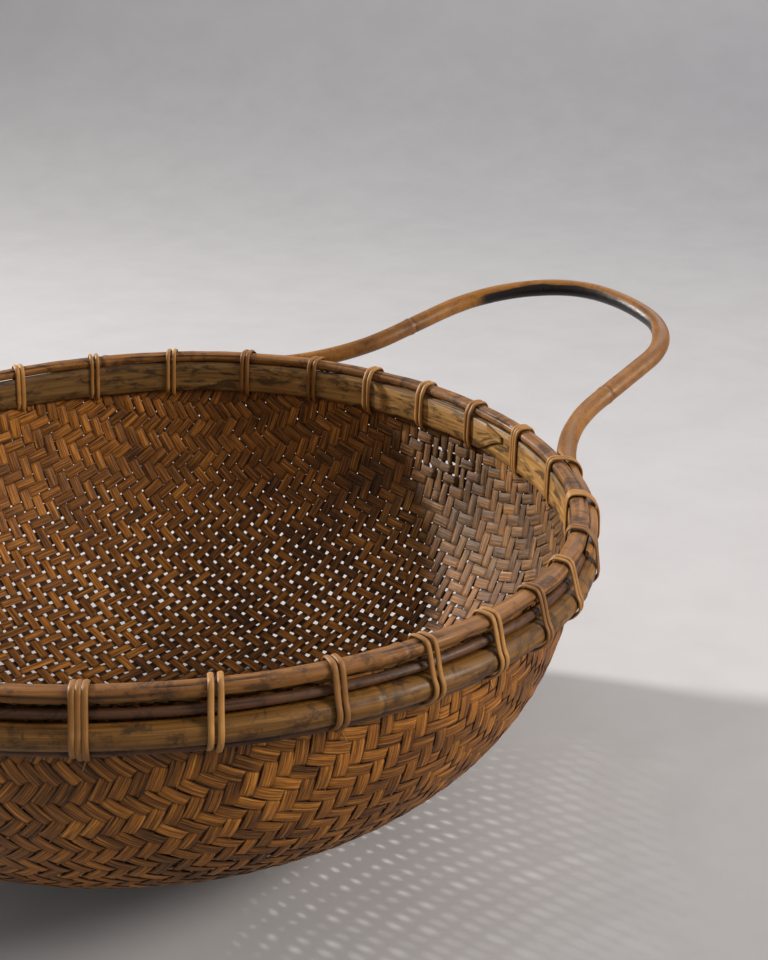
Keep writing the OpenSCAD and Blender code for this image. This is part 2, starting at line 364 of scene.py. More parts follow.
def strand_material(name, dark, mid, light, speck, coat):
    """A split bamboo strand: lengthwise streaks, stains, dark splits and a worn gloss. Colours are
    8-bit sRGB."""
    s = Shader(name)
    grain = s.mark("grain")
    fibre = s.noise(grain, (0.04, 3.0, 1.0), 4, 0.65)
    band = s.noise(grain, (0.014, 0.5, 1.0), 3, 0.6)
    stain = s.noise(s.place(), (70, 70, 110), 4, 0.75, 0.6)
    tone = s.math("MULTIPLY_ADD", fibre, 0.6, s.math("MULTIPLY_ADD", band, 0.9, -0.27))
    colour = s.ramp(tone, [(0.15, linear(*dark)), (0.52, linear(*mid)), (0.88, linear(*light))])
    colour = s.mix(s.span(stain, 0.47, 0.66, 0.0, 0.8), colour, linear(*speck))
    colour = s.mix(s.mark("grime"), colour, linear(28, 15, 8))
    rough = s.span(stain, 0.3, 0.7, 0.46, 0.62)
    return s.finish(colour, rough, fibre, 0.0003, 0.5, coat=coat, coat_rough=0.25)


def pole_material():
    """The pole's polished skin: mottled brown, black and glossier where the burnt mark says."""
    s = Shader("handle_pole_skin")
    grain = s.mark("grain")
    fibre = s.noise(grain, (0.05, 4.0, 1.0), 4, 0.6)
    mottle = s.noise(s.place(), (190, 190, 150), 4, 0.75, 0.5)
    cloud = s.noise(s.place(), (26, 26, 22), 3, 0.6)
    tone = s.math("MULTIPLY_ADD", mottle, 0.62, s.math("MULTIPLY_ADD", cloud, 0.6, -0.26))
    tone = s.math("MULTIPLY_ADD", fibre, 0.28, tone)
    colour = s.ramp(tone, [(0.22, linear(58, 33, 10)), (0.42, linear(104, 65, 22)),
                           (0.58, linear(138, 91, 34)), (0.80, linear(174, 124, 56))])
    colour = s.mix(s.span(mottle, 0.52, 0.68, 0.0, 0.7), colour, linear(62, 36, 17))
    colour = s.mix(s.mark("grime"), colour, linear(40, 22, 10))
    burnt = s.math("MULTIPLY", s.mark("burnt"), s.span(mottle, 0.15, 0.45, 0.75, 1.0), clamp=True)
    colour = s.mix(s.span(burnt, 0.25, 0.7), colour, linear(22, 16, 14))
    rough = s.span(mottle, 0.3, 0.7, 0.34, 0.52)
    rough = s.math("SUBTRACT", rough, s.math("MULTIPLY", burnt, 0.10))
    height = s.math("ADD", fibre, s.math("MULTIPLY", mottle, 1.2))
    return s.finish(colour, rough, height, 0.0002, 0.5, coat=0.1, coat_rough=0.35)


def cane_material():
    """The lashings' cane: fine fibre, and a tint of its own for each length."""
    s = Shader("lashing_cane")
    grain, tint = s.mark("grain"), s.mark("tint")
    fibre = s.noise(grain, (0.10, 5.0, 1.0), 4, 0.6)
    spot = s.noise(s.place(), (70, 70, 70), 3, 0.6)
    tone = s.math("MULTIPLY_ADD", spot, 0.35, s.math("MULTIPLY_ADD", tint, 0.3, -0.1))
    tone = s.math("MULTIPLY_ADD", fibre, 0.5, tone)
    colour = s.ramp(tone, [(0.18, linear(86, 54, 23)), (0.45, linear(128, 87, 42)),
                           (0.68, linear(162, 118, 63)), (0.90, linear(190, 150, 90))])
    colour = s.mix(s.span(s.mark("edge"), 0.7, 1.0, 0.0, 0.5), colour, linear(86, 48, 18))
    rough = s.span(fibre, 0.2, 0.8, 0.46, 0.62)
    return s.finish(colour, rough, fibre, 0.00014, 0.6, coat=0.06, coat_rough=0.4)


# ------------------------------------------------------------------ the bowl's surface and its net

MID_R = WEAVE_OUT - WEAVE_T / 2            # radius between the two woven layers at the rim
MID_Z0 = WEAVE_T / 2                       # their height at the base
MID_RISE = WEAVE_TOP - MID_Z0
BASE_SIN = (BASE_R / MID_R) ** (FULLNESS / 2)
BASE_COS = math.sqrt(1 - BASE_SIN ** 2) ** (2 / FULLNESS)
PITCH = 8.0                                # nominal distance from one strip to the next
NET = 50                                   # strips computed each side of the middle
FLAT_SLOPE = 0.011                         # slope of surface() over the flat base
ON_SURFACE = 100                           # weight of lying on the bowl against even steps


def surface(p):
    """How far points are off the bowl's surface, more outside it, and the slope of that."""
    r = np.hypot(p[:, 0], p[:, 1]) + 1e-9
    left = np.maximum(BASE_COS * (1 - (p[:, 2] - MID_Z0) / MID_RISE), 0)
    flat = r < BASE_R
    f = np.where(flat, (MID_Z0 - p[:, 2]) * FLAT_SLOPE,
                 (r / MID_R) ** FULLNESS + left ** FULLNESS - 1)
    fr = np.where(flat, 0, FULLNESS * (r / MID_R) ** (FULLNESS - 1) / MID_R)
    fz = np.where(flat, -FLAT_SLOPE, -FULLNESS * left ** (FULLNESS - 1) * BASE_COS / MID_RISE)
    return f, np.stack([fr * p[:, 0] / r, fr * p[:, 1] / r, fz], 1)


def meridian():
    """Angle, radius, height and length from the middle along the bowl's profile."""
    a = np.linspace(math.asin(BASE_SIN), math.pi / 2, 2000)
    r = MID_R * np.sin(a) ** (2 / FULLNESS)
    z = MID_Z0 + MID_RISE * (1 - np.maximum(np.cos(a), 0) ** (2 / FULLNESS) / BASE_COS)
    s = BASE_R + np.concatenate([[0], np.cumsum(np.hypot(np.diff(r), np.diff(z)))])
    return a, r, z, s


PROFILE = meridian()
WALL_LENGTH = PROFILE[3][-1]


def way_out(p):
    """Length along the profile from the middle of the base to a point's own ring."""
    a, _, _, s = PROFILE
    r = np.hypot(p[:, 0], p[:, 1])
    left = np.maximum(BASE_COS * (1 - (p[:, 2] - MID_Z0) / MID_RISE), 0)
    angle = np.arctan2((r / MID_R) ** (FULLNESS / 2), left ** (FULLNESS / 2))
    out = np.where(r < BASE_R, r, np.interp(angle, a, s))
    return out + np.maximum(p[:, 2] - WEAVE_TOP, 0)


def pitch_at(s):
    """Step of the net at a length along the profile: smaller towards the rim."""
    return PITCH * (1.08 - 0.26 * np.minimum(s / WALL_LENGTH, 1.1))


def net():
    """Crossings of a net of equal steps laid over the bowl from its middle, strips along X and Y."""
    _, r, z, s = PROFILE
    pos = [0.0]
    for _ in range(NET):
        pos.append(pos[-1] + float(pitch_at(pos[-1])))
    pos = np.array(pos)
    ar = np.interp(pos, np.concatenate([[0], s]), np.concatenate([[0], r]))
    az = np.interp(pos, s, z) + np.maximum(pos - WALL_LENGTH, 0)
    q = np.full((NET + 1, NET + 1, 3), np.nan)
    q[:, 0] = np.stack([ar, 0 * ar, az], 1)
    q[0, :] = np.stack([0 * ar, ar, az], 1)
    for k in range(2, 2 * NET + 1):
        i = np.arange(max(1, k - NET), min(NET, k - 1) + 1)
        j = k - i
        pa, pb, pd = q[i - 1, j], q[i, j - 1], q[i - 1, j - 1]
        p = pa + pb - pd
        step = pitch_at(way_out(pd))
        # Newton's method: on the bowl, and one step from both neighbours
        for _ in range(5):
            f, g = surface(p)
            rows = np.stack([2 * (p - pa), 2 * (p - pb), g * ON_SURFACE], 1)
            miss = np.stack([((p - pa) ** 2).sum(1) - step ** 2,
                             ((p - pb) ** 2).sum(1) - step ** 2, f * ON_SURFACE], 1)
            ok = np.isfinite(rows).all((1, 2)) & np.isfinite(miss).all(1)
            rows[~ok], miss[~ok] = np.eye(3), 0
            p = p - np.clip(np.linalg.solve(rows + 1e-9 * np.eye(3), miss[..., None])[..., 0], -4, 4)
        p[p[:, 2] > RIM_Z + 30] = np.nan
        q[i, j] = p
    # the quarter just found, turned into the other three
    full = np.full((2 * NET + 1, 2 * NET + 1, 3), np.nan)
    u, v = np.meshgrid(np.arange(-NET, NET + 1), np.arange(-NET, NET + 1), indexing="ij")
    for turn, (iu, iv) in enumerate([(u, v), (v, -u), (-u, -v), (-v, u)]):
        here = (iu >= 0) & (iv >= 0)
        c, n = [(1, 0), (0, 1), (-1, 0), (0, -1)][turn]
        p = q[iu[here], iv[here]]
        full[here] = np.stack([c * p[:, 0] - n * p[:, 1], n * p[:, 0] + c * p[:, 1], p[:, 2]], 1)
    return full


# ------------------------------------------------------------------ woven strips

STEPS = 6                                  # rings along a strip for one crossing
LAYER = 0.52                               # how far a strip's middle lies off the net
STRIP_T = 0.85
# section of a strip: across its half-width, and off its middle in thicknesses
SECTION = np.array([(1, -0.25), (1, 0.2), (0.88, 0.45), (0, 0.55), (-0.88, 0.45), (-1, 0.2),
                    (-1, -0.25), (-0.88, -0.45), (0, -0.5), (0.88, -0.45)])
LOOSE_AT, LOOSE_Z = -2.0, 134.0            # middle of the loose patch: azimuth and height
GREY_SIDE_AT = -28.0                        # azimuth of the greyer side, partly bleached and partly painted light
PIECES = 10                                # pieces that each family of strips is joined into


def between(values, k, f):
    """Catmull-Rom value between rows k and k + 1."""
    last = len(values) - 1
    a, b, c, d = (values[np.clip(k + o, 0, last)] for o in (-1, 0, 1, 2))
    if values.ndim > 1:
        f = f[:, None]
    return b + 0.5 * f * (c - a + f * (2 * a - 5 * b + 4 * c - d + f * (3 * (b - c) + d - a)))


def woven_strip(points, gap, over, seed, level):
    """One strip through its crossings. over is 1 where it lies inside the bowl and -1 outside.
    A level strip runs along the rim at the loose patch, and stands off the bowl there in loops."""
    rng = np.random.default_rng(seed)
    m = len(points)
    t = np.arange(0, m - 1 + 1e-6, 1 / STEPS)
    k = np.minimum(t.astype(int), m - 2)
    f = t - k
    mid = between(points, k, f)
    inward = -unit(surface(mid)[1])
    run = unit(np.gradient(mid, axis=0))
    side = unit(np.cross(run, inward))
    azimuth = np.degrees(np.arctan2(mid[:, 1], mid[:, 0]))
    height = mid[:, 2] / WEAVE_TOP
    loose = np.exp(-((azimuth - LOOSE_AT) / 7) ** 2 - ((mid[:, 2] - LOOSE_Z) / 15) ** 2)

    here, ahead = over[k], over[k + 1]
    change = smooth((f - 0.5) / 0.55 + 0.5)
    lift = here * (1 - change) + ahead * change
    crown = np.where(here == ahead, np.sin(np.pi * f) * 0.3, 0) * here
    loops = loose * np.maximum(lift, 0) * (1.4 + 1.8 * rng.random()) * (1.0 if level else 0.1)
    off = LAYER * (lift + crown) + noise(t, seed + 7, 2.1) * 0.14 + loops

    fill = 0.69 + 0.29 * smooth(height, 0.2, 0.72)
    slack = 1 - (0.12 if level else 0.42) * loose
    fill = fill * (1 + 0.06 * noise(t, seed + 1, 4.0)) * (1 + rng.normal(0, 0.035)) * slack
    half = np.interp(t, np.arange(m), gap) * np.clip(fill, 0.5, 0.985) / 2
    drift = noise(t, seed + 2, 5.0) * 0.42 + noise(t, seed + 3, 1.7) * 0.15
    drift = drift + loose * noise(t, seed + 4, 2.5) * 0.8
    tip = noise(t, seed + 5, 1.9) * 0.07 + loose * noise(t, seed + 6, 1.5) * (0.16 if level else 0.08)

    base = mid + inward * off[:, None] + side * drift[:, None]
    wide = side * np.cos(tip)[:, None] + inward * np.sin(tip)[:, None]
    deep = inward * np.cos(tip)[:, None] - side * np.sin(tip)[:, None]
    x = SECTION[:, 0][None] * half[:, None]
    y = np.broadcast_to(SECTION[:, 1] * STRIP_T, x.shape)
    ring = base[:, None] + wide[:, None] * x[..., None] + deep[:, None] * y[..., None]
    keep = np.flatnonzero(mid[:, 2] <= WEAVE_TOP - 0.5)
    if len(keep) < 5:
        return None
    keep = np.arange(keep[0], keep[-1] + 1)
    ring = ring[keep]
    ring[..., 2] = np.clip(ring[..., 2], 0.05, WEAVE_TOP)

    shade = rng.random()
    floats = np.cumsum(np.concatenate([[0], np.abs(np.diff(np.sign(lift - 1e-6))) > 0]))
    each = np.random.default_rng(seed + 11).uniform(-0.5, 0.5, floats[-1] + 2)[floats]
    tint = np.clip(0.5 + (shade - 0.5) * 0.8 + each * 0.4, 0, 1)[keep, None]
    up = SECTION[:, 1] > 0
    # the inner face of one side is greyer: partly real bleaching, partly the cool light there painted in
    region = smooth(np.cos(np.radians(azimuth - GREY_SIDE_AT)), 0.62, 0.92) * smooth(height, 0.25, 0.6)
    bleach = region[keep, None] * np.where(up, 0.85, 0.15)[None] * (0.75 + 0.5 * each[keep, None])
    # how far each face lies under the crossing strip, for the painted shade there
    dip_shade = np.where(up[None], lift[keep, None], -lift[keep, None])
    return part(ring, along=t[keep] * PITCH, across=x[keep], tint=tint, edge=np.abs(SECTION[:, 0])[None],
                lift=dip_shade, bleach=np.clip(bleach, 0, 1))


def weave(material):
    """Both families of strips, over two and under two, in diamonds about the middle."""
    grid = net()
    idx = np.arange(-NET, NET + 1)
    for family in (0, 1):
        g = grid if family == 0 else grid.transpose(1, 0, 2)     # strips run along the first index
        run = np.full(g.shape, np.nan)
        run[1:-1] = (g[2:] - g[:-2]) / 2
        cross = np.full(g.shape, np.nan)
        cross[:, 1:-1] = (g[:, 2:] - g[:, :-2]) / 2
        t = unit(run)
        perp = np.linalg.norm(cross - (cross * t).sum(-1, keepdims=True) * t, axis=-1)
        made = []
        for j, v in enumerate(idx):
            ok = np.isfinite(g[:, j, 0]) & (g[:, j, 2] < WEAVE_TOP + 12)
            if not ok[NET]:
                continue
            lo, hi = NET, NET
            while lo > 0 and ok[lo - 1]:
                lo -= 1
            while hi < 2 * NET and ok[hi + 1]:
                hi += 1
            if hi - lo < 2:
                continue
            rows = slice(lo, hi + 1)
            gap = perp[rows, j].copy()
            good = np.isfinite(gap)
            if not good.any():
                continue
            gap = np.interp(np.arange(len(gap)), np.flatnonzero(good), gap[good])
            order = (np.abs(idx[rows]) + abs(v)) % 4 < 2
            over = np.where(order == (family == 0), 1.0, -1.0)
            body = woven_strip(g[rows, j], gap, over, 1000 * (family + 1) + int(v) * 13, family == 1)
            if body:
                made.append(body)
        for n, group in enumerate(np.array_split(np.arange(len(made)), PIECES)):
            add_piece(f"weave_{'warp' if family == 0 else 'weft'}_{n + 1:02d}", [made[i] for i in group],
                      material, ["woven_bowl"])


# ------------------------------------------------------------------ rim

AROUND = np.linspace(0, 2 * math.pi, 1080, endpoint=False)   # azimuths of a ring's sections
FAR_SIDE = 88.0                            # azimuth where the lath's painted shade is deepest
SCARF_AT = 139.0                           # azimuth of the split in the lath


def ring_body(r, z, theta, closed=True, **marks):
    """Ring from radii and heights (steps, sides) at the azimuths theta."""
    x, y = r * np.cos(theta)[:, None], r * np.sin(theta)[:, None]
    points = np.stack([x, y, np.broadcast_to(z, r.shape)], -1)
    return part(points, along=theta * RIM_R, closed=closed, **marks)


def strand(theta, centre_r, centre_z, half_w, half_h, seed, sides=28, split=0.55, knots=(), square=1.0):
    """Round or flattened strand: slightly uneven, with lengthwise splits and a few node swellings.
    square under 1 fills its section out towards a box."""
    phi = np.linspace(0, 2 * math.pi, sides, endpoint=False)[None]
    th = theta[:, None]
    size = 1 + 0.035 * ring_noise(th, seed, 40) + 0.03 * ring_noise(th, seed + 1, 130)
    size = size * (1 + 0.02 * np.cos(2 * phi + ring_noise(th, seed + 2, 20) * 3))
    dark = np.zeros((len(theta), sides))
    for n, where in enumerate((1.2, 2.3, 0.2)):
        at = where + 0.5 * ring_noise(th, seed + 20 + n, 17)
        open_here = smooth(ring_noise(th, seed + 30 + n, 34), 0.05, 0.6)
        cut = np.exp(-(wrapped(phi - at) / 0.13) ** 2) * open_here
        size = size - split / half_h * cut
        dark = np.maximum(dark, cut)
    for where in knots:
        d = wrapped(th - math.radians(where)) * RIM_R
        size = size + (0.45 * np.exp(-(d / 2.2) ** 2) - 0.35 * np.exp(-((d - 2.6) / 0.7) ** 2)) / half_h
        dark = np.maximum(dark, 0.8 * np.exp(-((d - 2.4) / 0.9) ** 2))
    c, n = np.cos(phi), np.sin(phi)
    r = centre_r + 0.3 * ring_noise(th, seed + 3, 46) + half_w * size * np.sign(c) * np.abs(c) ** square
    z = centre_z + 0.3 * ring_noise(th, seed + 4, 52) + half_h * size * np.sign(n) * np.abs(n) ** square
    return r, z, phi * (half_w + half_h) / 2, dark


def lath_and_end(material):
    """The flat lath, bevelled and a little wavy, and its overlapping end, cut to a blunt point."""
    middle = LATH_H / 2
    outline = np.array([(0, 0.6), (0.6, 0), (LATH_T - 0.5, 0), (LATH_T, 0.5), (LATH_T, middle),
                        (LATH_T, 19.5), (LATH_T - 0.5, LATH_H), (0.6, LATH_H), (0.1, 19.4), (0, 14.5),
                        (0, 9.8), (0, 5)])
    depth, high = outline[:, 0][None], outline[:, 1][None]
    from_middle = np.abs(high - middle)
    wave = 0.3 + ring_noise(AROUND, 50, 60)[:, None]
    z = RIM_Z - LATH_H + high + np.where(high > middle, 0.35, -0.35) * wave * (from_middle / middle)
    r = LATH_IN + depth + (0.18 * ring_noise(AROUND, 52, 70)[:, None] - 0.12) * (depth < 1)
    grime = 0.35 * smooth(from_middle, 8.5, 10.2)
    for azimuth in LASHED:
        d = np.abs(wrapped(AROUND[:, None] - math.radians(azimuth))) * RIM_R
        grime = np.maximum(grime, 0.6 * np.exp(-(d / 5.5) ** 2))
    # painted shade: the lath is darkened towards its far side, whose face looks away from the key light
    far = np.cos(AROUND - math.radians(FAR_SIDE))
    grime = np.maximum(grime, 0.64 * smooth(far, 0.35, 0.9)[:, None])
    # a slanting split across the lath, outside the photograph's frame
    scarf_at = np.radians(SCARF_AT + high * 0.22)
    scarf = np.exp(-((AROUND[:, None] - scarf_at) * RIM_R / 0.55) ** 2) * (depth < 1)
    r = r + 0.45 * scarf
    lath = ring_body(r, z, AROUND, across=high, tint=0.4, edge=from_middle / middle,
                     grime=np.clip(grime + 0.8 * scarf, 0, 1))

    tip, root = math.radians(TONGUE_FROM), math.radians(TONGUE_TO)
    theta = tip + (root - tip) * np.linspace(0, 1, 170) ** 1.25
    s = (theta - tip) * LATH_R
    low = -LATH_H + 11.5 * smooth(1 - s / 26) ** 0.8 + 0.5
    top = -0.2 - 3.6 * np.clip(1 - s / 17, 0, 1)
    thick = TONGUE_T * smooth((root - theta) / 0.16) * smooth(s, -2.5, 1.5) + 0.02
    # its section: how far up it each corner is, and 0 at its face or 1 at its back
    across = np.array([0, 0.04, 0.3, 0.6, 0.96, 1, 1, 0.6, 0.3, 0])
    back = np.array([0.45, 0.0, 0, 0, 0.0, 0.45, 1, 1, 1, 1])
    r = LATH_IN + 0.15 - thick[:, None] * (1 - back)[None]
    z = RIM_Z + low[:, None] + (top - low)[:, None] * across[None]
    tongue = ring_body(r, z, theta, False, across=across * LATH_H, tint=0.9,
                       edge=np.abs(across * 2 - 1)[None],
                       grime=(0.55 * np.exp(-(s / 0.8) ** 2))[:, None])
    add_piece("rim_lath", [lath, tongue], material, ["inner_lath"])


def strands(looks):
    """The wide strand on top of the rim and the thin ones above and below the hoop."""
    half = (TOP_HIGH - TOP_LOW) / 2
    r, z, across, dark = strand(AROUND, STRAND_R, TOP_LOW + half - 0.5, TOP_OUT - STRAND_R - 0.2,
                                half * 1.02, 60, 36, 0.5, (-40.0, 61.0, 158.0, -152.0, -97.0), 0.8)
    add_piece("rim_top_strand", [ring_body(r, z, AROUND, across=across, tint=0.3, grime=dark)],
              looks["top"], ["top_strand"])
    for name, outer, low, high, seed, tint in (("middle", MID_OUT, MID_LOW, MID_HIGH, 90, 0.2),
                                               ("lower", LOWER_OUT, LOWER_LOW, LOWER_HIGH, 80, 0.7)):
        half = (high - low) / 2
        r, z, across, dark = strand(AROUND, outer - half, low + half, half * 0.97, half * 0.97,
                                    seed, 20, 0.25)
        add_piece(f"rim_{name}_strand", [ring_body(r, z, AROUND, across=across, tint=tint, grime=dark)],
                  looks["dark"], [f"{name}_strand"])


def outer_hoop(material):
    """The half-round hoop outside the weave, with nodes, scars and two splits that come and go."""
    radius = (HOOP_HIGH - HOOP_LOW) / 2
    centre_r, centre_z = HOOP_OUT - radius, (HOOP_HIGH + HOOP_LOW) / 2
    back_r = WEAVE_OUT + 0.25
    reach = math.acos(max(-1, (WEAVE_OUT + 0.2 - centre_r) / radius))
    phi = np.concatenate([np.linspace(-reach, reach, 24), [reach, reach, -reach, -reach]])[None]
    t = AROUND[:, None]
    size = radius * (1 + 0.025 * ring_noise(t, 70, 36) + 0.012 * ring_noise(t, 71, 150)
                     + 0.02 * np.cos(2 * phi + 2 * ring_noise(t, 72, 22)))
    dark = np.zeros((len(AROUND), phi.shape[1]))
    for where in (-63.0, 4.0, 76.0, 143.0, -146.0, -101.0):
        d = wrapped(t - math.radians(where)) * HOOP_R
        size = size + 0.5 * np.exp(-(d / 3.0) ** 2) - 0.45 * np.exp(-((d - 3.4) / 0.8) ** 2)
        dark = np.maximum(dark, 0.75 * np.exp(-((d - 3.2) / 1.0) ** 2))
        scar = np.exp(-((d - 9) / 3.4) ** 2 - ((phi - 0.25) / 0.42) ** 2)
        dark = np.maximum(dark, 0.75 * scar)
    for n, at in enumerate((0.55, -0.5)):
        open_here = smooth(ring_noise(t, 74 + n, 26), 0.1, 0.7)
        line = open_here * np.exp(-((phi - at - 0.2 * ring_noise(t, 76 + n, 15)) / 0.06) ** 2)
        size = size - 0.3 * line
        dark = np.maximum(dark, 0.7 * line)
    r, z = centre_r + size * np.cos(phi), centre_z + size * np.sin(phi)
    # the last four corners are its flat back
    back_z = np.array([0.6, 0.2, -0.2, -0.6]) * radius * math.sin(reach)
    r[:, -4:], z[:, -4:] = back_r, centre_z + back_z
    r = np.maximum(r, back_r)
    across = np.concatenate([phi[0, :-4] * radius, back_z])
    add_piece("rim_outer_hoop", [ring_body(r, z, AROUND, across=across, tint=0.6, grime=dark)],
              material, ["outer_hoop"])


# ------------------------------------------------------------------ handles


def cos(degrees):
    return math.cos(math.radians(degrees))


def sin(degrees):
    return math.sin(math.radians(degrees))


def bend(centre, radius, start, end, count):
    """Points of an arc after its first, angles in degrees."""
    a = np.radians(np.linspace(start, end, count))[1:]
    return np.array(centre) + radius * np.stack([np.cos(a), np.sin(a)], 1)


def half_loop(span, fy, corner, top, full):
    """One half of the grip's loop in its own plane, from beside its middle to the rim: an arc, a
    tighter corner, a straight leg and the bend at the foot. The arc's radius and the leg's length
    are the two that make the ends meet."""
    nx = span - corner * (cos(top) - cos(full)) - FOOT_BEND * (cos(FOOT) - cos(full))
    ny = fy - corner * (sin(full) - sin(top)) - FOOT_BEND * (sin(full) - sin(FOOT))
    det = (1 - cos(top)) * cos(full) - sin(full) * sin(top)
    radius = (nx * cos(full) - ny * sin(full)) / det
    leg = ((1 - cos(top)) * ny - sin(top) * nx) / det
    centre = np.array([span - radius, 0])
    corner_c = centre + (radius - corner) * np.array([cos(top), sin(top)])
    out = np.array([cos(full), sin(full)])
    leg_top = corner_c + corner * out
    leg_end = leg_top + leg * np.array([-sin(full), cos(full)])
    return np.concatenate([bend(centre, radius, 0, top, 40), bend(corner_c, corner, top, full, 30),
                           leg_top + (leg_end - leg_top) * np.linspace(0, 1, 20)[1:, None],
                           bend(leg_end + FOOT_BEND * out, FOOT_BEND, 180 + full, 180 + FOOT, 50)])


def pole_path(tail):
    """Centreline of the pole, tail to tail through the loop, and the slope of the grip."""
    fx, fy = TAIL_R * cos(FOOT), TAIL_R * sin(FOOT)
    slope = math.atan(GRIP_RISE / (GRIP_REACH - fx))
    span = (GRIP_REACH - fx) / math.cos(slope)
    sides = []
    for corner, top, full in GRIP_HALVES:
        half = half_loop(span, fy, corner, top, full)
        loop = np.stack([fx + half[:, 0] * math.cos(slope), half[:, 1],
                         TAIL_RISE + half[:, 0] * math.sin(slope)], 1)
        end = bend((0, 0), TAIL_R, FOOT, tail, 60)
        sides.append(np.concatenate([loop, np.column_stack([end, np.full(len(end), TAIL_RISE)])]))
    first = np.array([[fx + span * math.cos(slope), 0, TAIL_RISE + span * math.sin(slope)]])
    path = np.concatenate([sides[0][::-1] * [1, -1, 1], first, sides[1]])
    path[:, 2] += RIM_Z
    return path, slope


def handle(side, material, seed):
    """One bent pole, made at the right of the basket and turned half round for the left."""
    tail = TAILS[side]
    path, slope = pole_path(tail)
    s = running_length(path)
    even = np.linspace(0, s[-1], 460)
    path = np.stack([np.interp(even, s, path[:, i]) for i in range(3)], 1)
    total, s = s[-1], even
    run = unit(np.gradient(path, axis=0))
    up = np.array([-math.sin(slope), 0, math.cos(slope)])
    across = unit(np.cross(run, up))
    over = np.cross(across, run)
    sides = 28
    phi = np.linspace(0, 2 * math.pi, sides, endpoint=False)[None]
    outward = np.cos(phi)[..., None] * across[:, None] + np.sin(phi)[..., None] * over[:, None]
    size = POLE_R * (1 + 0.02 * noise(s, seed, 60) + 0.012 * noise(s, seed + 1, 13))[:, None]
    size = size * (1 + 0.025 * np.cos(2 * phi + 2 * noise(s, seed + 2, 90)[:, None]))
    grime = np.zeros((len(s), sides))
    for node_at in (0.285, 0.715):
        d = (s - total * node_at)[:, None] * (1 if node_at < 0.5 else -1)
        size = size + 0.35 * np.exp(-(d / 2.0) ** 2) - 0.5 * np.exp(-((d - 1.9) / 0.75) ** 2)
        grime = np.maximum(grime, 0.75 * np.exp(-((d - 1.9) / 0.7) ** 2))
        scar = np.exp(-((d + 5) / 2.6) ** 2 - ((np.mod(phi - 2.6, 2 * math.pi)) / 0.5) ** 2)
        grime = np.maximum(grime, 0.5 * scar)
    # the tails get thinner towards their ends
    angle = np.degrees(np.abs(np.arctan2(path[:, 1], path[:, 0])))
    on_rim = (np.hypot(path[:, 0], path[:, 1]) < TAIL_R + 0.05) & (angle > FOOT)
    end = np.minimum(s, total - s)
    size = size * np.where(on_rim, 1 - TAIL_THINNING * (angle - FOOT) / (tail - FOOT), 1)[:, None]
    size = size * (0.55 + 0.45 * smooth(end, -1, 5))[:, None]
    ring = path[:, None] + size[..., None] * outward
    # and they are shaved flat against the rim
    rad = np.hypot(ring[..., 0], ring[..., 1])
    ring[..., :2] *= (np.maximum(rad, TAIL_FLAT) / rad)[..., None]
    # the black patch on the inner and lower side of the grip
    face = outward @ unit(np.array([-0.74, -0.30, -0.60]))
    grip = smooth(np.abs(s - total / 2), 118, 78)[:, None]
    burnt = smooth(face + 0.12 * noise(s, seed + 5, 9)[:, None], 0.05, 0.42) * grip
    if side == "left":
        ring = ring * [-1, -1, 1]
    tint = 0.3 if side == "right" else 0.6
    body = part(ring, along=s, across=phi * POLE_R, tint=tint, burnt=burnt, grime=grime)
    add_piece(f"pole_handle_{side}", [body], material, [f"handle_{side}"])


# ------------------------------------------------------------------ lashings

CANE_W, CANE_T = 2.9, 1.15
# section of the cane: across its half-width, and off its middle in thicknesses
CANE_SECTION = np.array([(-1, -0.35), (-0.6, -0.5), (0.6, -0.5), (1, -0.35), (0.9, 0.12), (0.55, 0.42),
                         (0, 0.55), (-0.55, 0.42), (-0.9, 0.12), (-1, -0.1)])


def bundle(azimuth, inner):
    """Outline of what a lashing passes round, as radii and rises from the top of the lath."""
    h = HOOP_OUT
    near = min(azimuth % 180, 180 - azimuth % 180)
    tail = TAILS["left" if 90 < azimuth < 270 else "right"]
    w, top = TOP_OUT - STRAND_R + 0.1, TOP_HIGH - RIM_Z + 0.1
    mid = (TOP_LOW + TOP_HIGH) / 2 - RIM_Z
    outer = [(h + 0.5, -12.6), (h - 1.6, -9.2), (STRAND_R + w, 4.5)]
    if FOOT - 5 < near < FOOT:
        away = math.radians(FOOT - near) * TAIL_R
        x = TAIL_R + away ** 2 / 2 * (1 / FOOT_BEND + 1 / TAIL_R) + POLE_R
        outer = [(x + 0.3, -5.4), (x + 0.4, 0), (x - 1.4, 3.8), (x - 4.6, 5.9)]
    elif FOOT < near < tail + 1:
        x = TAIL_R + POLE_R * (1 - TAIL_THINNING * (near - 0.7 - FOOT) / (tail - FOOT))
        outer = [(x + 0.6, -5.4), (x - 0.1, -0.6), (x - 2.4, 3.3)]
    return np.array([(inner, 0.2), (inner, -20.2), (WEAVE_OUT + 0.4, -25.2), (WEAVE_OUT + 3.3, -25.2),
                     (h - 1.4, -19.4), (h + 0.5, -16.5)] + outer
                    + [(STRAND_R + w - 1.8, top), (STRAND_R - w + 1.8, top), (STRAND_R - w, mid + 1.3)])


def rounded(outline, grow, count=90):
    """The outline grown by a distance and eased at its corners, as even points with their normals."""
    p = outline
    for _ in range(2):
        q = np.roll(p, -1, 0)
        p = np.stack([p * 0.8 + q * 0.2, p * 0.2 + q * 0.8], 1).reshape(-1, 2)
    closed = np.vstack([p, p[:1]])
    s = running_length(closed)
    e = np.linspace(0, s[-1], count, endpoint=False)
    p = np.stack([np.interp(e, s, closed[:, 0]), np.interp(e, s, closed[:, 1])], 1)
    t = unit(np.roll(p, -1, 0) - np.roll(p, 1, 0))
    n = np.stack([t[:, 1], -t[:, 0]], 1)
    centre = outline.mean(0)
    n = n * np.sign(((p - centre) * n).sum(1).mean())
    return p + n * grow, n


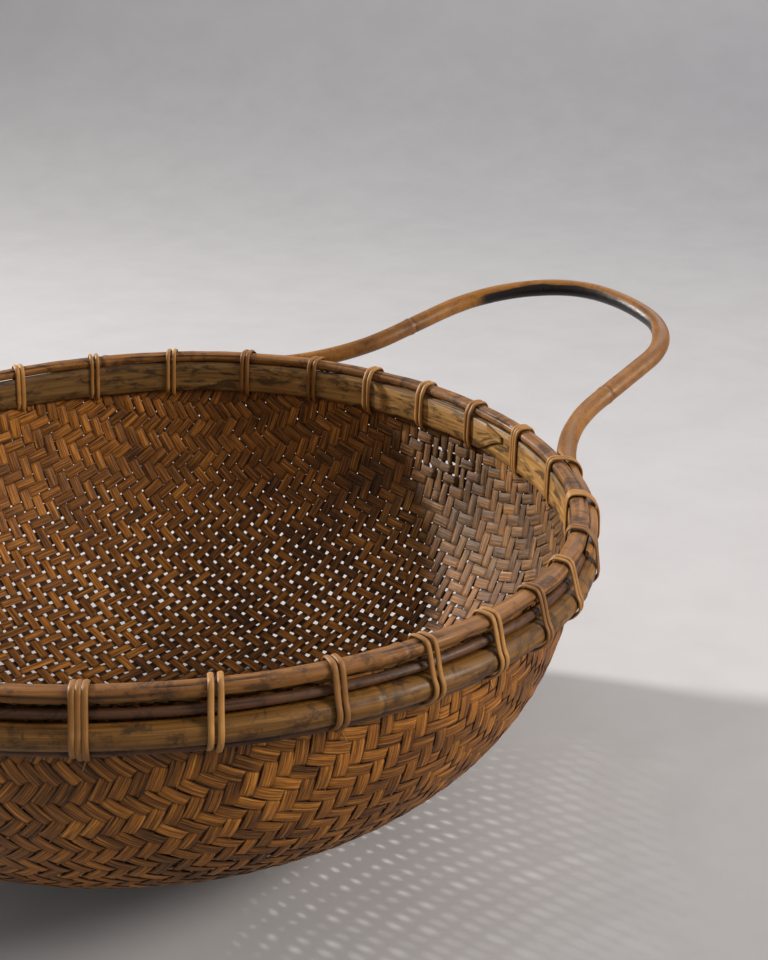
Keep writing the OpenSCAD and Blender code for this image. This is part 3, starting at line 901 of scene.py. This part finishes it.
def cane(azimuth, turns, step, slant, inner, rng, tail):
    """One length of cane wound round the rim, its ends tucked under. With tail, a loose end hangs
    below it."""
    grow = 0.28 + CANE_T / 2
    path, normal = rounded(bundle(azimuth, inner), grow)
    n = len(path)
    start = int(n * 0.30)
    k = np.arange(int(n * turns) + 1)
    i = (start + k) % n
    shift = (k / n - turns / 2) * step
    tight = np.minimum(1, np.minimum(k, k[::-1]) / 7.0)
    p, nrm = path[i] - normal[i] * ((1 - tight) * 1.2)[:, None], normal[i]
    shift = shift + slant * (p[:, 0] - 242) * 0.1 + 0.12 * noise(k, int(azimuth * 7) + 3, 14)
    a = math.radians(azimuth)
    radial = np.array([math.cos(a), math.sin(a), 0])
    tangent = np.array([-math.sin(a), math.cos(a), 0])
    z = np.array([0, 0, 1.0])
    mid = p[:, 0:1] * radial + (RIM_Z + p[:, 1:2]) * z + shift[:, None] * tangent
    out = nrm[:, 0:1] * radial + nrm[:, 1:2] * z
    side = unit(np.cross(unit(np.gradient(mid, axis=0)), out))
    sec = CANE_SECTION
    w = CANE_W / 2 * (1 + 0.06 * noise(k, int(azimuth * 5) + 9, 25))
    w = w * rng.uniform(0.88, 1.08)
    wide = (sec[:, 0][None] * w[:, None])[..., None]
    deep = (sec[:, 1] * CANE_T)[None, :, None]
    ring = mid[:, None] + side[:, None] * wide + out[:, None] * deep
    tint = rng.random()
    edge = np.abs(sec[:, 0])[None]
    bodies = [part(ring, along=k * 0.9, across=sec[:, 0] * CANE_W / 2, tint=tint, edge=edge)]
    if tail:
        length = rng.uniform(5, 9)
        q = np.linspace(0, 1, 8)[:, None]
        foot = (WEAVE_OUT + 2.5) * radial + (RIM_Z - 25.6) * z + (step * 0.5) * tangent
        way = foot + q * length * (0.35 * tangent * rng.choice([-1, 1]) - 0.9 * z)
        way = way + (q ** 2) * rng.uniform(0.5, 2.5) * radial
        thin = sec[:, ::-1] * [0.45, 0.6]
        ring = way[:, None] + radial * thin[:, 0][None, :, None]
        ring = ring + tangent * (thin[:, 1] * (1 - 0.6 * q))[..., None]
        bodies.append(part(ring, along=q[:, 0] * length, across=sec[:, 0], tint=tint, edge=edge))
    return bodies


def lashings(material):
    """A lashing of two or three turns at each place that the CAD gives."""
    for n, azimuth in enumerate(LASHED):
        signed = azimuth - 360 if azimuth > 180 else azimuth
        rng = np.random.default_rng(300 + n)
        inner = LATH_IN - (TONGUE_T if TONGUE_FROM < signed < TONGUE_TO + 1 else 0) - 0.1
        turns = 1.92 if rng.random() < 0.8 else 2.9
        step = CANE_W + (rng.uniform(0.0, 1.3) if turns < 2 else -0.35)
        bodies = cane(azimuth, turns, step, rng.normal(0, 0.6), inner, rng, rng.random() < 0.35)
        add_piece(f"cane_lashing_{n + 1:02d}", bodies, material, [f"lashing_{n + 1:02d}"])


# ------------------------------------------------------------------ stage, lights and camera


def stage():
    """Pale floor that curves up into a pale backdrop, behind the basket as the camera sees it."""
    s = Shader("studio_floor")
    fine = s.noise(s.place(), (14, 14, 14), 4, 0.6)
    floor_colour = s.ramp(fine, [(0.3, linear(160, 159, 162)), (0.7, linear(165, 164, 167))])
    rise = s.node("ShaderNodeSeparateXYZ")
    s.put(rise.inputs[0], s.place())
    # painted light: the backdrop turns whiter with height, making up for the light that falls off towards
    # its top
    colour = s.mix(s.span(rise.outputs["Z"], 0.1, 1.2), floor_colour, linear(255, 254, 255))
    s.finish(colour, 0.8, fine, 0.0003, 0.15)
    away = np.array([0.681, 0.732])            # level direction in which the camera looks
    side = np.array([away[1], -away[0]])
    profile = [(d, 0.0) for d in (-4.0, -1.5, 0.6, 1.5)]
    for a in np.radians(range(6, 91, 6)):
        profile.append((1.5 + 0.9 * math.sin(a), 0.9 - 0.9 * math.cos(a)))
    profile += [(2.4, 2.4), (2.4, 4.0)]
    verts, faces = [], []
    for d, z in profile:
        for w in (-5.0, 5.0):
            x, y = away * d + side * w
            verts.append((x, y, z))
    for k in range(len(profile) - 1):
        faces.append((2 * k, 2 * k + 1, 2 * k + 3, 2 * k + 2))
    mesh = bpy.data.meshes.new("studio_sweep")
    mesh.from_pydata(verts, [], faces)
    mesh.shade_smooth()
    mesh.materials.append(s.material)
    floor = bpy.data.objects.new("studio_sweep", mesh)
    bpy.context.scene.collection.objects.link(floor)


def light(name, at, to, size, power, colour, spread=180):
    """A round soft light at one point, aimed at another."""
    data = bpy.data.lights.new(name, "AREA")
    data.spread = math.radians(spread)
    data.shape, data.size, data.energy, data.color = "DISK", size, power, colour
    lamp = bpy.data.objects.new(name, data)
    lamp.location = at
    lamp.rotation_euler = (Vector(to) - Vector(at)).to_track_quat("-Z", "Y").to_euler()
    bpy.context.scene.collection.objects.link(lamp)


def studio():
    """The stage, three soft lights and a pale world. The key light stands behind and to the left,
    where the edge of the shadow inside the bowl puts it."""
    stage()
    light("key", (-0.80, 2.79, 1.45), (0.05, -0.02, 0.1), 0.2, 44, (1.0, 0.97, 0.92), 90)
    light("back_fill", (1.9, 0.6, 1.6), (0.5, 0.1, 0.0), 1.6, 14, (1.0, 0.99, 0.98))
    light("front_fill", (1.5, -1.9, 1.35), (-0.1, 0.1, 0.1), 0.9, 15, (1.0, 0.92, 0.82), 80)
    world = bpy.data.worlds.new("studio_world")
    world.use_nodes = True
    back = world.node_tree.nodes["Background"]
    back.inputs["Color"].default_value = (0.92, 0.91, 0.90, 1)
    back.inputs["Strength"].default_value = 0.55
    bpy.context.scene.world = world
    view = bpy.context.scene.view_settings
    view.view_transform, view.look, view.exposure = "Standard", "None", 0.0


def camera():
    """The photograph's view. Its lens, place and angles were fitted to the photograph."""
    data = bpy.data.cameras.new("photo_camera")
    data.sensor_width, data.lens, data.clip_start, data.clip_end = 36, 57.32, 0.01, 50
    cam = bpy.data.objects.new("photo_camera", data)
    turn_to = (Matrix.Rotation(math.radians(-42.93), 4, "Z") @ Matrix.Rotation(math.radians(69.16), 4, "X")
               @ Matrix.Rotation(math.radians(0.086), 4, "Z"))
    cam.matrix_world = Matrix.Translation((-0.4319, -0.6606, 0.4781)) @ turn_to
    bpy.context.scene.collection.objects.link(cam)
    bpy.context.scene.camera = cam


camera()
studio()
cane_look = cane_material()
pole_look = pole_material()
lath_look = lath_material()
# name, then dark, middle, light and speck colours, then the strength of the gloss
looks = {
    "top": strand_material("top_strand_bamboo", (54, 32, 11), (116, 74, 30), (164, 116, 56),
                           (44, 27, 12), 0.08),
    "dark": strand_material("dark_strand_bamboo", (42, 25, 15), (84, 54, 33), (122, 86, 54),
                            (36, 22, 14), 0.06),
    "hoop": strand_material("outer_hoop_bamboo", (50, 31, 9), (104, 69, 24), (150, 108, 45),
                            (42, 26, 10), 0.08),
}
weave(weave_material())
lath_and_end(lath_look)
strands(looks)
outer_hoop(looks["hoop"])
handle("right", pole_look, 401)
handle("left", pole_look, 431)
lashings(cane_look)

bpy.context.view_layer.update()
